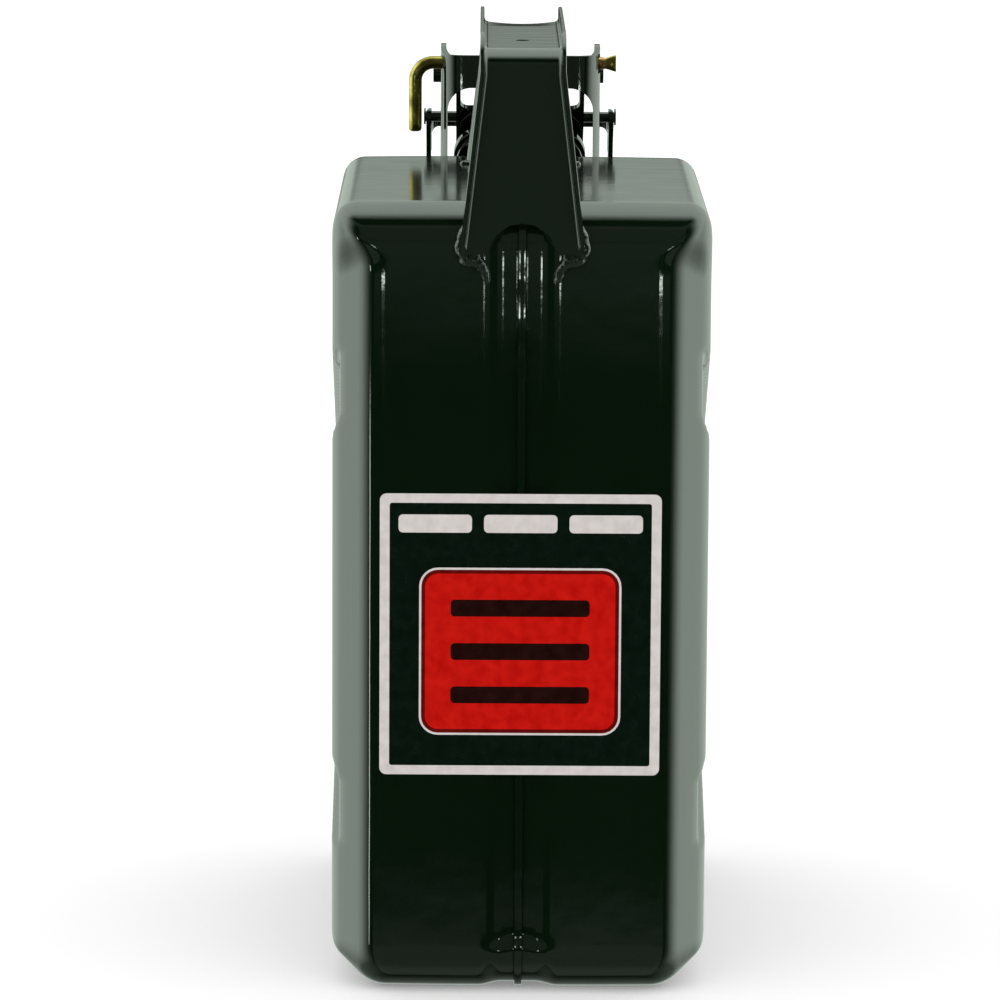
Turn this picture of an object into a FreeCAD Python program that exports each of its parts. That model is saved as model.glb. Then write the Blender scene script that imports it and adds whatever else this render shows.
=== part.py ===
"""A five litre pressed steel fuel can: two welded half shells, a channel handle and a cam lever closure.

Frame: +Z up, the rear (handle foot) faces -Y, the spout is towards +Y, the origin is under the middle.
"""
import FreeCAD, Part
import math
import os
import re
import Sketcher
from FreeCAD import Placement, Rotation, Vector

os.makedirs("parts", exist_ok=True)
doc = FreeCAD.newDocument("fuel_can")

# ---------------------------------------------------------------- driving dimensions (mm, degrees)
SIZES = {
    # pressed body
    "body_width": 120, "body_length": 204, "body_height": 254, "wall": 0.9,
    "corner_radius": 14, "slope_radius": 16, "slope_run": 56, "slope_angle": 40,
    "edge_chamfer": 9.5, "edge_rounding": 6.5,
    # seam channel round the middle, shallower under the can, and the weld seam standing in it
    "channel_half": 11, "channel_floor_half": 6.5, "channel_depth": 2.6, "channel_low_depth": 1.4,
    "ledge_low": 16.5, "ledge_high": 19, "seam_half": 1, "seam_sunk": 0.6,
    # X shaped pressing in the two big faces
    "press_depth": 2.6, "press_half": 10, "press_slope": 1.3, "press_overrun": 1,
    "press_rear_high": 204, "press_rear_low": 52, "press_front_high": 168, "press_front_low": 52,
    # handle: a channel with its flanges outwards
    "grip_height": 299.4, "grip_sheet": 1.3, "grip_flange": 6.4, "grip_half": 13.6, "grip_foot_half": 20,
    "grip_taper_low": 238, "grip_taper_high": 292, "grip_bend": 9, "grip_rear": 24, "grip_front": 143,
    "grip_rear_lean": 66, "grip_front_lean": 63, "grip_rear_foot": 239, "foot_proud": 4,
    "arch_radius": 11.5, "arch_height": 237, "grip_hole_radius": 2.2, "grip_hole_from_rear": 58,
    # welds
    "weld_radius": 2.2, "weld_inset": 0.5, "rear_weld_long": 10, "rear_weld_height": 239,
    "rear_weld_out": 0.9, "front_weld_half": 8, "front_weld_back": 1.9, "front_weld_up": 0.2,
    "bracket_weld_radius": 1.6, "bracket_weld_long": 24, "bracket_weld_back": 10, "bracket_weld_up": 8.6,
    "bracket_weld_out": 0.2,
    # spout, in its own frame on the sloping shoulder
    "neck_along": 25, "neck_height": 15, "neck_radius": 20, "neck_sheet": 1.4, "neck_sunk": 5,
    "lip_radius": 21.8, "lip_tall": 3, "neck_cut_deep": 10, "neck_weld_deep": 3, "neck_weld_low": 0.4,
    "neck_weld_high": 2.4, "breather_radius": 3.6, "breather_sheet": 0.8, "breather_long": 46,
    "breather_tilt": 82, "breather_back": 8, "breather_up": 2.6,
    # closure bracket, upright behind and beside the spout
    "bracket_rear": 149, "bracket_front": 183, "bracket_half": 27, "bracket_sheet": 1.8, "bracket_bend": 8,
    "band_top": 287.4, "band_low": 276.4, "arch_half": 24.6, "ear_top": 290, "ear_front": 172.5,
    "ear_rear": 157, "ear_chin": 7, "waist_rear": 163, "waist_top": 12, "lug_top": 12, "lug_front": 174,
    "lug_slope": 10, "lug_nose": 6,
    # lid hinge pin and the catch studs
    "hinge_from_rear": 166, "hinge_height": 279.5, "hinge_radius": 2, "hinge_head": 2.8,
    "hinge_head_thick": 2.6, "hinge_tail_thick": 1.3, "spacer_wall": 1.6,
    "stud_along": 0, "stud_up": 9.6, "stud_radius": 2, "stud_reach": 33.2, "collar_wide": 1,
    "collar_thick": 1.6, "fit": 0.06,
    # lid stack, heights above the foot of the spout
    "gasket_low": 15.2, "gasket_high": 17.4, "gasket_inner": 15.6, "gasket_outer": 21.3,
    "lid_radius": 22.6, "lid_sheet": 1.2, "lid_skirt_low": 15.5, "lid_step": 13.5, "dome_radius": 9,
    "dome_high": 20.7, "retainer_radius": 16.4, "retainer_sheet": 1.2, "retainer_hub": 12.5,
    "yoke_sheet": 1.5, "yoke_half": 21.8, "yoke_lobe": 6.5, "yoke_nose": 13, "yoke_nose_half": 9,
    "yoke_window_end": -22, "rivet_radius": 2, "rivet_head": 4.2, "rivet_thick": 1.5,
    # cam lever: a strap over the lid, with hooks under the studs and a thumb tongue
    "lever_pin_along": -14, "lever_pin_up": 23, "lever_pin_radius": 1.8, "lever_pin_head": 0.6,
    "lever_half": 32, "lever_sheet": 1.6, "lever_top": 26.2, "lever_bend": 4.6, "lever_lobe": 3.6,
    "lever_shoulder": 2.2,
    "strap_rear": -9.2, "strap_front": -5.6, "strap_inner_half": 30.2, "arm_top_along": 5, "hook_along": 10.5, "hook_low": 8.5,
    "hook_tail": 1.6, "tongue_half": 9, "tongue_out": 2.2, "tongue_low": 10, "tongue_tip": 7,
    # locking pin: an L with a flattened end
    "lock_from_rear": 156, "lock_height": 284.4, "lock_radius": 2.2, "lock_bend": 6, "lock_left": 35.6,
    "lock_right": 28, "lock_flat_end": 32.4, "lock_flat_half": 2.9, "lock_flat_thin": 1.1, "lock_low": 261,
    "lock_play": 0.4,
    # label
    "label_wide": 89, "label_low": 72, "label_tall": 90.6, "label_thick": 0.3, "label_corner": 2,
}
# Places worked out from the driving dimensions.
DERIVED = {
    "rear": "(foot_proud / 2 - body_length / 2)",
    "front": "(foot_proud / 2 + body_length / 2)",
    "slope_start": "(front - slope_run)",
    "spout_y": "(slope_start + neck_along * cos(slope_angle))",
    "spout_z": "(body_height - neck_along * sin(slope_angle))",
    "hinge_y": "(rear + hinge_from_rear)",
    "hinge_along": "((hinge_y - spout_y) * cos(slope_angle) - (hinge_height - spout_z) * sin(slope_angle))",
    "hinge_up": "((hinge_y - spout_y) * sin(slope_angle) + (hinge_height - spout_z) * cos(slope_angle))",
    "stud_y": "(spout_y + stud_along * cos(slope_angle) + stud_up * sin(slope_angle))",
    "stud_z": "(spout_z - stud_along * sin(slope_angle) + stud_up * cos(slope_angle))",
    "lock_y": "(rear + lock_from_rear)",
    "yoke_top": "(dome_high + yoke_sheet)",
}
sheet = doc.addObject("Spreadsheet::Sheet", "sizes")
for row, (alias, number) in enumerate(SIZES.items(), start=1):
    sheet.set(f"A{row}", alias)
    sheet.set(f"B{row}", str(number))
    sheet.setAlias(f"B{row}", alias)
doc.recompute()


def formula(text):
    """Spell out the derived places and point every size at the sheet."""
    while any(re.search(rf"\b{name}\b", text) for name in DERIVED):
        text = re.sub(r"\b[a-z_]+\b", lambda word: DERIVED.get(word[0], word[0]), text)
    return re.sub(r"\b[a-z_]+\b", lambda word: f"sizes.{word[0]}" if word[0] in SIZES else word[0], text)


def value(text):
    """The number that a formula gives now."""
    return float(sheet.evalExpression(formula(text)))


def bind(thing, **sizes):
    """Bind properties to formulas; place_y stands for Placement.Base.y and so on."""
    for prop, text in sizes.items():
        path = prop.replace("place_", "Placement.Base.") if prop.startswith("place_") else prop
        thing.setExpression(path, formula(text))
    return thing


# ---------------------------------------------------------------- sketches and features
def new_body(name):
    """A PartDesign body labelled with its name."""
    body = doc.addObject("PartDesign::Body", name)
    body.Label = name
    return body


def outline(body, plane, corners, lift="0"):
    """A closed outline of (across, up[, radius]) corners on one of the body's planes, fully constrained."""
    sketch = body.newObject("Sketcher::SketchObject", f"{body.Name}_outline")
    origin_plane = next(item for item in body.Origin.OriginFeatures if item.Role == plane)
    sketch.AttachmentSupport = [(origin_plane, "")]
    sketch.MapMode = "FlatFace"
    sketch.setExpression("AttachmentOffset.Base.z", formula(lift))
    add_loop(sketch, corners)
    return sketch


def add_loop(sketch, corners):
    """Draw one loop of straight sides, with a tangent arc at each corner that has a radius."""
    corners = [(*corner, None)[:3] for corner in corners]
    points = [Vector(value(across), value(up), 0) for across, up, radius in corners]
    count = len(points)
    starts, ends, arcs = [], [], []
    for index, (point, corner) in enumerate(zip(points, corners)):
        back = (points[index - 1] - point).normalize()
        onward = (points[(index + 1) % count] - point).normalize()
        if corner[2] is None:
            ends.append(point)
            starts.append(point)
            arcs.append(None)
            continue
        half = back.getAngle(onward) / 2
        size = value(corner[2])
        reach = size / math.tan(half)
        middle = point + (back + onward).normalize() * (size / math.sin(half) - size)
        ends.append(point + back * reach)
        starts.append(point + onward * reach)
        arcs.append(Part.Arc(point + back * reach, middle, point + onward * reach))
    tips = [sketch.addGeometry(Part.Point(point), True) for point in points]
    lines = [sketch.addGeometry(Part.LineSegment(starts[index], ends[(index + 1) % count]), False)
             for index in range(count)]
    for index, (across, up, radius) in enumerate(corners):
        before, after = lines[index - 1], lines[index]
        point = points[index]
        for kind, text, number in (("DistanceX", across, point.x), ("DistanceY", up, point.y)):
            key = sketch.addConstraint(Sketcher.Constraint(kind, -1, 1, tips[index], 1, number))
            sketch.setExpression(f"Constraints[{key}]", formula(text))
        if radius is None:
            sketch.addConstraint(Sketcher.Constraint("Coincident", before, 2, tips[index], 1))
            sketch.addConstraint(Sketcher.Constraint("Coincident", after, 1, tips[index], 1))
            continue
        arc = sketch.addGeometry(arcs[index], False)
        first, last = (1, 2) if sketch.getPoint(arc, 1).distanceToPoint(ends[index]) < 1e-6 else (2, 1)
        sketch.addConstraint(Sketcher.Constraint("Tangent", before, 2, arc, first))
        sketch.addConstraint(Sketcher.Constraint("Tangent", arc, last, after, 1))
        sketch.addConstraint(Sketcher.Constraint("PointOnObject", tips[index], 1, before))
        sketch.addConstraint(Sketcher.Constraint("PointOnObject", tips[index], 1, after))
        key = sketch.addConstraint(Sketcher.Constraint("Radius", arc, value(radius)))
        sketch.setExpression(f"Constraints[{key}]", formula(radius))


def pad(body, sketch, length, both_ways=False):
    """Thicken an outline along its plane's normal, or evenly both ways."""
    feature = body.newObject("PartDesign::Pad", f"{body.Name}_pad")
    feature.Profile = sketch
    feature.SideType = "Symmetric" if both_ways else "One side"
    return bind(feature, Length=length)


def slab(name, plane, corners, length, both_ways=True, lift="0"):
    """A body of one padded outline."""
    body = new_body(name)
    pad(body, outline(body, plane, corners, lift), length, both_ways)
    return body


def loft(body, kind, first, second):
    """Join two outlines of the same body, adding or cutting."""
    feature = body.newObject(f"PartDesign::{kind}Loft", f"{body.Name}_loft")
    feature.Profile = first
    feature.Sections = [second]
    feature.Ruled = True
    return feature


def turned(name, corners):
    """A body of one outline (radius, height) turned about Z."""
    body = new_body(name)
    feature = body.newObject("PartDesign::Revolution", f"{name}_turn")
    feature.Profile = outline(body, "XZ_Plane", corners)
    feature.ReferenceAxis = (feature.Profile[0], ["V_Axis"])
    feature.Angle = 360
    return body


def rod(name, radius, left, right, y, z):
    """A cylinder along X from left to right."""
    cylinder = doc.addObject("Part::Cylinder", name)
    cylinder.Placement = Placement(Vector(), Rotation(Vector(0, 1, 0), 90))
    return bind(cylinder, Radius=radius, Height=f"({right}) - ({left})", place_x=left, place_y=y, place_z=z)


def join(name, *pieces):
    """Fuse pieces."""
    fuse = doc.addObject("Part::MultiFuse", name)
    fuse.Shapes = list(pieces)
    return fuse


def cut(name, base, *tools):
    """Take tools away from a base."""
    result = doc.addObject("Part::Cut", name)
    result.Base = base
    result.Tool = tools[0] if len(tools) == 1 else join(f"{name}_tools", *tools)
    return result


def overlap(name, first, second):
    """The space that two solids share."""
    common = doc.addObject("Part::Common", name)
    common.Base = first
    common.Tool = second
    return common


def mirrored(name, source):
    """The same piece on the other side of the middle plane."""
    mirror = doc.addObject("Part::Mirroring", name)
    mirror.Source = source
    mirror.Normal = Vector(1, 0, 0)
    return mirror


def pair(name, right):
    """A piece and its mirror image, as a group of separate solids."""
    group = doc.addObject("Part::Compound", name)
    group.Links = [mirrored(f"{name}_other", right), right]
    return group


def on_spout(thing):
    """Stand a piece on the sloping shoulder, its Z along the spout."""
    thing.Placement = Placement(Vector(), Rotation(Vector(-1, 0, 0), value("slope_angle")))
    return bind(thing, place_y="spout_y", place_z="spout_z")


# ---------------------------------------------------------------- pressed body
def side_outline(inset, low_inset):
    """The can's outline from the side, moved in by one inset above the ledge and another below it."""
    low_corner, corner = f"corner_radius - ({low_inset})", f"corner_radius - ({inset})"
    top = f"body_height - ({inset})"
    slope_top = f"slope_start - ({inset}) * tan(slope_angle / 2)"
    slope_drop = f"(({inset}) + (front - ({inset}) - slope_start) * sin(slope_angle)) / cos(slope_angle)"
    return [(f"rear + ({inset})", "ledge_high + 0"), (f"rear + ({low_inset})", "ledge_low + 0"),
            (f"rear + ({low_inset})", f"0 + ({low_inset})", low_corner),
            (f"front - ({low_inset})", f"0 + ({low_inset})", low_corner),
            (f"front - ({low_inset})", "ledge_low + 0"), (f"front - ({inset})", "ledge_high + 0"),
            (f"front - ({inset})", f"body_height - {slope_drop}", "slope_radius"),
            (slope_top, top, "slope_radius"), (f"rear + ({inset})", top, corner)]


def press_arm(grow, rear_height, front_height):
    """One arm of the X, running out past both ends of the big face."""
    slope = f"({front_height} - {rear_height}) / body_length"
    low, high = f"{rear_height} - (press_half + {grow})", f"{rear_height} + (press_half + {grow})"
    rise = f"(body_length + 2 * press_overrun) * {slope}"
    return [("rear - press_overrun", low), ("front + press_overrun", f"{low} + {rise}"),
            ("front + press_overrun", f"{high} + {rise}"), ("rear - press_overrun", high)]


def edges_across(shape, x):
    """Names of the edges that lie in the plane at x."""
    return [f"Edge{number}" for number, edge in enumerate(shape.Edges, start=1)
            if abs(edge.BoundBox.XMin - x) < 1e-3 and abs(edge.BoundBox.XMax - x) < 1e-3]


def half_can(name, inset):
    """The right half of the can as a solid block, moved in by an inset."""
    body = new_body(name)
    shoulder, floor = f"channel_half + {inset}", f"channel_floor_half + {inset}"
    full = side_outline(inset, inset)
    sunk = side_outline(f"channel_depth + {inset}", f"channel_low_depth + {inset}")
    pad(body, outline(body, "YZ_Plane", full, shoulder), f"body_width / 2 - {inset} - ({shoulder})")
    loft(body, "Additive", outline(body, "YZ_Plane", full, shoulder), outline(body, "YZ_Plane", sunk, floor))
    pad(body, outline(body, "YZ_Plane", sunk), floor)
    doc.recompute()
    block = body.Tip
    chamfer = body.newObject("PartDesign::Chamfer", f"{name}_chamfer")
    chamfer.Base = (block, edges_across(block.Shape, value(f"body_width / 2 - {inset}")))
    size = f"edge_chamfer - {inset} * (2 - sqrt(2))"
    bind(chamfer, Size=size)
    doc.recompute()
    rounding = body.newObject("PartDesign::Fillet", f"{name}_rounding")
    rounding.Base = (chamfer, edges_across(chamfer.Shape, value(f"body_width / 2 - {inset}"))
                     + edges_across(chamfer.Shape, value(f"body_width / 2 - {inset} - ({size})")))
    bind(rounding, Radius=f"edge_rounding - {inset}")
    for rear_height, front_height in (("press_rear_high", "press_front_low"),
                                      ("press_rear_low", "press_front_high")):
        bottom = outline(body, "YZ_Plane", press_arm(inset, rear_height, front_height),
                         f"body_width / 2 - press_depth - {inset}")
        flare = f"({inset} + (press_depth + press_overrun) * press_slope)"
        mouth = outline(body, "YZ_Plane", press_arm(flare, rear_height, front_height),
                        f"body_width / 2 + press_overrun - {inset}")
        loft(body, "Subtractive", bottom, mouth)
    return body


neck_hole = on_spout(bind(doc.addObject("Part::Cylinder", "neck_hole"), Radius="neck_radius",
                          Height="neck_cut_deep + 2 * neck_height"))
bind(neck_hole, place_y="spout_y - neck_cut_deep * sin(slope_angle)",
     place_z="spout_z - neck_cut_deep * cos(slope_angle)")
can_outside = half_can("can_outside", "0")
shell_right = cut("shell_right", can_outside, half_can("can_inside", "wall"), neck_hole)
shell_left = mirrored("shell_left", shell_right)

seam_ring = new_body("seam_ring")
seam_sketch = outline(seam_ring, "YZ_Plane", side_outline("seam_sunk", "0"))
add_loop(seam_sketch, side_outline("channel_depth", "channel_low_depth"))
pad(seam_ring, seam_sketch, "2 * seam_half", both_ways=True)
seam_weld = cut("seam_weld", seam_ring, neck_hole)


# ---------------------------------------------------------------- handle
GRIP_FRONT_FOOT = "rear + grip_front - (grip_height - body_height) / tan(grip_front_lean)"


def grip_band(name, near, far):
    """The handle from the side, between two distances outwards from its inner face."""
    def line(out):
        rear_foot = "rear + grip_rear - (grip_height - grip_rear_foot) / tan(grip_rear_lean)"
        return [(f"{rear_foot} - ({out}) / sin(grip_rear_lean)", "grip_rear_foot"),
                (f"rear + grip_rear - ({out}) * tan(grip_rear_lean / 2)", f"grip_height + ({out})",
                 f"grip_bend + ({out})"),
                (f"rear + grip_front + ({out}) / tan(grip_front_lean / 2)", f"grip_height + ({out})",
                 f"grip_bend + ({out})"),
                (f"{GRIP_FRONT_FOOT} + ({out}) / sin(grip_front_lean)", "body_height + 0")]
    return slab(name, "YZ_Plane", line(near) + line(far)[::-1], "3 * grip_foot_half")


def grip_taper(name, inset):
    """The handle from behind: its feet spread."""
    foot, top = f"grip_foot_half - {inset}", f"grip_half - {inset}"
    rows = [(foot, "grip_taper_low"), (top, "grip_taper_high"), (top, "grip_height + 2 * grip_flange")]
    corners = [(f"0 - ({half})", height) for half, height in rows]
    corners += [(half, height) for half, height in rows[::-1]]
    return slab(name, "XZ_Plane", corners, "3 * body_length")


grip_outside = overlap("grip_outside", grip_band("grip_whole", "0", "grip_flange"),
                       grip_taper("grip_wide", "0"))
grip_inside = overlap("grip_inside", grip_band("grip_trough", "grip_sheet", "grip_flange + 2"),
                      grip_taper("grip_narrow", "grip_sheet"))
foot_trim = slab("foot_trim", "YZ_Plane", [
    ("rear - grip_foot_half", "body_height - 2 * grip_foot_half"),
    ("rear - foot_proud", "body_height - 2 * grip_foot_half"), ("rear - foot_proud", "grip_height + 0"),
    ("rear - grip_foot_half", "grip_height + 0")], "3 * grip_foot_half")
foot_arch = bind(doc.addObject("Part::Cylinder", "foot_arch"), Radius="arch_radius", Height="3 * arch_radius")
foot_arch.Placement = Placement(Vector(), Rotation(Vector(-1, 0, 0), 90))
bind(foot_arch, place_y="rear - arch_radius", place_z="arch_height")
grip_hole = bind(doc.addObject("Part::Cylinder", "grip_hole"), Radius="grip_hole_radius",
                 Height="3 * grip_flange", place_y="rear + grip_hole_from_rear",
                 place_z="grip_height - grip_flange")
handle = cut("handle", grip_outside, grip_inside, foot_trim, foot_arch, grip_hole)

rear_weld_rod = bind(doc.addObject("Part::Cylinder", "rear_weld_rod"), Radius="weld_radius",
                     Height="rear_weld_long")
rear_weld_rod.Placement = Placement(Vector(), Rotation(Vector(-1, 0, 0), 90 - value("grip_rear_lean")))
bind(rear_weld_rod, place_x="grip_foot_half - weld_inset", place_y="rear - rear_weld_out",
     place_z="rear_weld_height")
rear_weld = cut("rear_weld", rear_weld_rod, can_outside, handle)
handle_rear_welds = pair("handle_rear_welds", rear_weld)
front_weld_rod = rod("front_weld_rod", "weld_radius", "channel_half + weld_inset",
                     "channel_half + front_weld_half", f"{GRIP_FRONT_FOOT} - front_weld_back",
                     "body_height + front_weld_up")
front_weld = cut("front_weld", front_weld_rod, can_outside, handle)
handle_front_welds = pair("handle_front_welds", front_weld)

# ---------------------------------------------------------------- spout
neck = on_spout(turned("neck", [
    ("neck_radius - neck_sheet", "0 - neck_sunk"), ("neck_radius", "0 - neck_sunk"),
    ("neck_radius", "neck_height - lip_tall"), ("lip_radius", "neck_height - lip_tall", "0.9"),
    ("lip_radius", "neck_height", "1.2"), ("neck_radius - neck_sheet", "neck_height", "0.9")]))
weld_ring = on_spout(turned("weld_ring", [
    ("neck_radius", "0 - neck_weld_deep"), ("neck_radius + weld_radius", "0 - neck_weld_deep"),
    ("neck_radius + weld_radius", "neck_weld_low"), ("neck_radius", "neck_weld_high")]))
neck_weld = cut("neck_weld", weld_ring, can_outside, mirrored("can_outside_left", can_outside), seam_weld)
breather_outer = bind(doc.addObject("Part::Cylinder", "breather_outer"), Radius="breather_radius",
                      Height="breather_long")
breather_bore = bind(doc.addObject("Part::Cylinder", "breather_bore"),
                     Radius="breather_radius - breather_sheet", Height="breather_long")
for tube in (breather_outer, breather_bore):
    tube.Placement = Placement(Vector(), Rotation(Vector(1, 0, 0), value("breather_tilt")))
    bind(tube, place_y="spout_y - breather_back", place_z="spout_z + breather_up")
breather_tube = cut("breather_tube", breather_outer, breather_bore)

# ---------------------------------------------------------------- closure bracket
SLOPE_AT_REAR = "body_height - (bracket_rear - 1 - (body_length - slope_run)) * tan(slope_angle)"
SLOPE_AT_FRONT = "body_height - (bracket_front - (body_length - slope_run)) * tan(slope_angle)"


def plan_u(name, inset):
    """The bracket's wall line from above: a U open to the front."""
    half, back = f"bracket_half - {inset}", f"rear + bracket_rear + {inset}"
    return slab(name, "XY_Plane", [
        (f"0 - ({half})", "rear + body_length"), (f"0 - ({half})", back, f"bracket_bend - {inset}"),
        (half, back, f"bracket_bend - {inset}"), (half, "rear + body_length")],
        "grip_height - slope_run", both_ways=False, lift="body_height - slope_run")


def cross_hole(name, radius, y, z):
    """A drill along X, right through the closure."""
    return rod(name, radius, "0 - 2 * neck_radius", "2 * neck_radius", y, z)


bracket_wall = cut("bracket_wall", plan_u("bracket_block", "0"), plan_u("bracket_core", "bracket_sheet"))
bracket_side = slab("bracket_side", "YZ_Plane", [
    ("rear + bracket_rear - 1", SLOPE_AT_REAR), ("rear + bracket_rear - 1", "band_top"),
    ("rear + ear_rear - 4", "band_top"), ("rear + ear_rear", "ear_top", "3"),
    ("rear + ear_front", "ear_top", "6"), ("rear + ear_front", "hinge_height - ear_chin", "5"),
    ("rear + waist_rear", "hinge_height - waist_top", "3"), ("rear + waist_rear", "stud_z + lug_top", "3"),
    ("rear + lug_front", "stud_z + lug_slope", "4"), ("rear + bracket_front", "stud_z - lug_nose", "4"),
    ("rear + bracket_front", SLOPE_AT_FRONT)], "4 * bracket_half")
bracket_arch = slab("bracket_arch", "XZ_Plane", [
    ("0 - arch_half", "slope_run + 0"), ("0 - arch_half", "band_low", "bracket_bend"),
    ("arch_half", "band_low", "bracket_bend"), ("arch_half", "slope_run + 0")],
    "2 * bracket_bend", both_ways=False)
bind(bracket_arch, place_y="rear + bracket_rear + bracket_bend + lug_nose")
lock_hole = rod("lock_hole", "lock_radius + 2 * fit", "0 - 2 * neck_radius", "0", "lock_y", "lock_height")
lock_slot = bind(doc.addObject("Part::Box", "lock_slot"), Length="2 * neck_radius",
                 Width="2 * lock_radius + lock_play", Height="2 * (lock_flat_half + lock_play)",
                 place_y="lock_y - lock_radius - lock_play / 2",
                 place_z="lock_height - lock_flat_half - lock_play")
closure_bracket = cut("closure_bracket", overlap("bracket_blank", bracket_wall, bracket_side),
                      bracket_arch, lock_hole, lock_slot,
                      cross_hole("hinge_hole", "hinge_radius", "hinge_y", "hinge_height"),
                      cross_hole("stud_hole", "stud_radius", "stud_y", "stud_z"))

bracket_weld_rod = bind(doc.addObject("Part::Cylinder", "bracket_weld_rod"), Radius="bracket_weld_radius",
                        Height="bracket_weld_long")
bracket_weld_rod.Placement = Placement(Vector(), Rotation(Vector(-1, 0, 0), 90 + value("slope_angle")))
bind(bracket_weld_rod, place_x="bracket_half + bracket_weld_out", place_y="spout_y - bracket_weld_back",
     place_z="spout_z + bracket_weld_up")
bracket_weld = cut("bracket_weld", bracket_weld_rod, can_outside, closure_bracket)
bracket_welds = pair("bracket_welds", bracket_weld)

hinge_pin = join(
    "hinge_pin",
    rod("hinge_shank", "hinge_radius", "0 - bracket_half", "bracket_half", "hinge_y", "hinge_height"),
    rod("hinge_head_left", "hinge_head", "0 - bracket_half - hinge_head_thick", "0 - bracket_half", "hinge_y",
        "hinge_height"),
    rod("hinge_head_right", "hinge_head", "bracket_half", "bracket_half + hinge_tail_thick", "hinge_y",
        "hinge_height"))
spacer_blank = rod("spacer_blank", "hinge_radius + spacer_wall", "yoke_half + 2 * fit",
                   "bracket_half - bracket_sheet", "hinge_y", "hinge_height")
spacer_bore = cross_hole("spacer_bore", "hinge_radius + fit / 2", "hinge_y", "hinge_height")
hinge_spacers = pair("hinge_spacers", cut("hinge_spacer", spacer_blank, spacer_bore))
stud_rod = rod("stud_rod", "stud_radius", "bracket_half - bracket_sheet", "stud_reach", "stud_y", "stud_z")
stud_collar = rod("stud_collar", "stud_radius + collar_wide", "bracket_half", "bracket_half + collar_thick",
                  "stud_y", "stud_z")
catch_studs = pair("catch_studs", join("catch_stud", stud_rod, stud_collar))

# ---------------------------------------------------------------- lid
lid = on_spout(turned("lid", [
    ("rivet_radius", "dome_high - lid_sheet"), ("dome_radius", "dome_high - lid_sheet", "3"),
    ("lid_step", "gasket_high", "2"), ("lid_radius - lid_sheet", "gasket_high"),
    ("lid_radius - lid_sheet", "lid_skirt_low"), ("lid_radius", "lid_skirt_low"),
    ("lid_radius", "gasket_high + lid_sheet", "1"), ("lid_step + 0.5", "gasket_high + lid_sheet", "3"),
    ("dome_radius + 0.5", "dome_high", "4"), ("rivet_radius", "dome_high")]))
lid_gasket = on_spout(turned("lid_gasket", [
    ("gasket_inner", "gasket_low"), ("gasket_outer", "gasket_low"), ("gasket_outer", "gasket_high"),
    ("gasket_inner", "gasket_high")]))
gasket_retainer = on_spout(turned("gasket_retainer", [
    ("rivet_radius", "gasket_low - retainer_sheet"),
    ("retainer_radius", "gasket_low - retainer_sheet", "0.6"), ("retainer_radius", "gasket_low"),
    ("gasket_inner", "gasket_low"), ("gasket_inner", "gasket_high"),
    ("retainer_hub", "gasket_high"), ("retainer_hub", "gasket_low"), ("rivet_radius", "gasket_low")]))
lid_rivet = on_spout(turned("lid_rivet", [
    ("0", "gasket_low - 2 * retainer_sheet"), ("rivet_head", "gasket_low - 2 * retainer_sheet", "1"),
    ("rivet_head", "gasket_low - retainer_sheet"), ("rivet_radius", "gasket_low - retainer_sheet"),
    ("rivet_radius", "yoke_top"), ("rivet_head", "yoke_top"), ("rivet_head", "yoke_top + rivet_thick", "1.2"),
    ("0", "yoke_top + rivet_thick")]))

yoke_plan = slab("yoke_plan", "XY_Plane", [
    ("0 - yoke_half", "hinge_along - yoke_lobe"), ("yoke_half", "hinge_along - yoke_lobe"),
    ("yoke_half", "0", "4"), ("yoke_nose_half", "yoke_nose", "4"), ("0 - yoke_nose_half", "yoke_nose", "4"),
    ("0 - yoke_half", "0", "4")], "hinge_up", both_ways=False, lift="dome_high")
yoke_flange = slab("yoke_flange", "YZ_Plane", [
    ("hinge_along - yoke_lobe", "hinge_up + yoke_lobe", "yoke_lobe - 0.01"),
    ("hinge_along - yoke_lobe", "hinge_up - yoke_lobe", "4"),
    ("hinge_along + yoke_lobe / 2", "dome_high", "3"), ("yoke_nose + 1", "dome_high"),
    ("yoke_nose + 1", "yoke_top"), ("lever_pin_along + 4.4", "yoke_top", "1"),
    ("lever_pin_along + 3.4", "lever_pin_up + 3.2", "2.4"),
    ("hinge_along + yoke_lobe", "hinge_up + yoke_lobe", "yoke_lobe - 0.5")], "3 * yoke_half")
yoke_trough = slab("yoke_trough", "XZ_Plane", [
    ("0 - yoke_half + yoke_sheet", "yoke_top", "1.2"), ("yoke_half - yoke_sheet", "yoke_top", "1.2"),
    ("yoke_half - yoke_sheet", "2 * hinge_up"), ("0 - yoke_half + yoke_sheet", "2 * hinge_up")],
    "body_length")
yoke_window = slab("yoke_window", "XY_Plane", [
    ("0 - yoke_half + yoke_sheet", "2 * hinge_along"), ("yoke_half - yoke_sheet", "2 * hinge_along"),
    ("yoke_half - yoke_sheet", "yoke_window_end", "3"),
    ("0 - yoke_half + yoke_sheet", "yoke_window_end", "3")],
    "3 * dome_high")
yoke_rivet_hole = bind(doc.addObject("Part::Cylinder", "yoke_rivet_hole"), Radius="rivet_radius",
                       Height="2 * hinge_up")
lid_yoke = on_spout(cut(
    "lid_yoke", overlap("yoke_blank", yoke_plan, yoke_flange), yoke_trough, yoke_window, yoke_rivet_hole,
    cross_hole("yoke_hinge_hole", "hinge_radius + fit", "hinge_along", "hinge_up"),
    cross_hole("yoke_lever_hole", "lever_pin_radius", "lever_pin_along", "lever_pin_up")))
PIN_END = "lever_half + 0.2"
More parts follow.
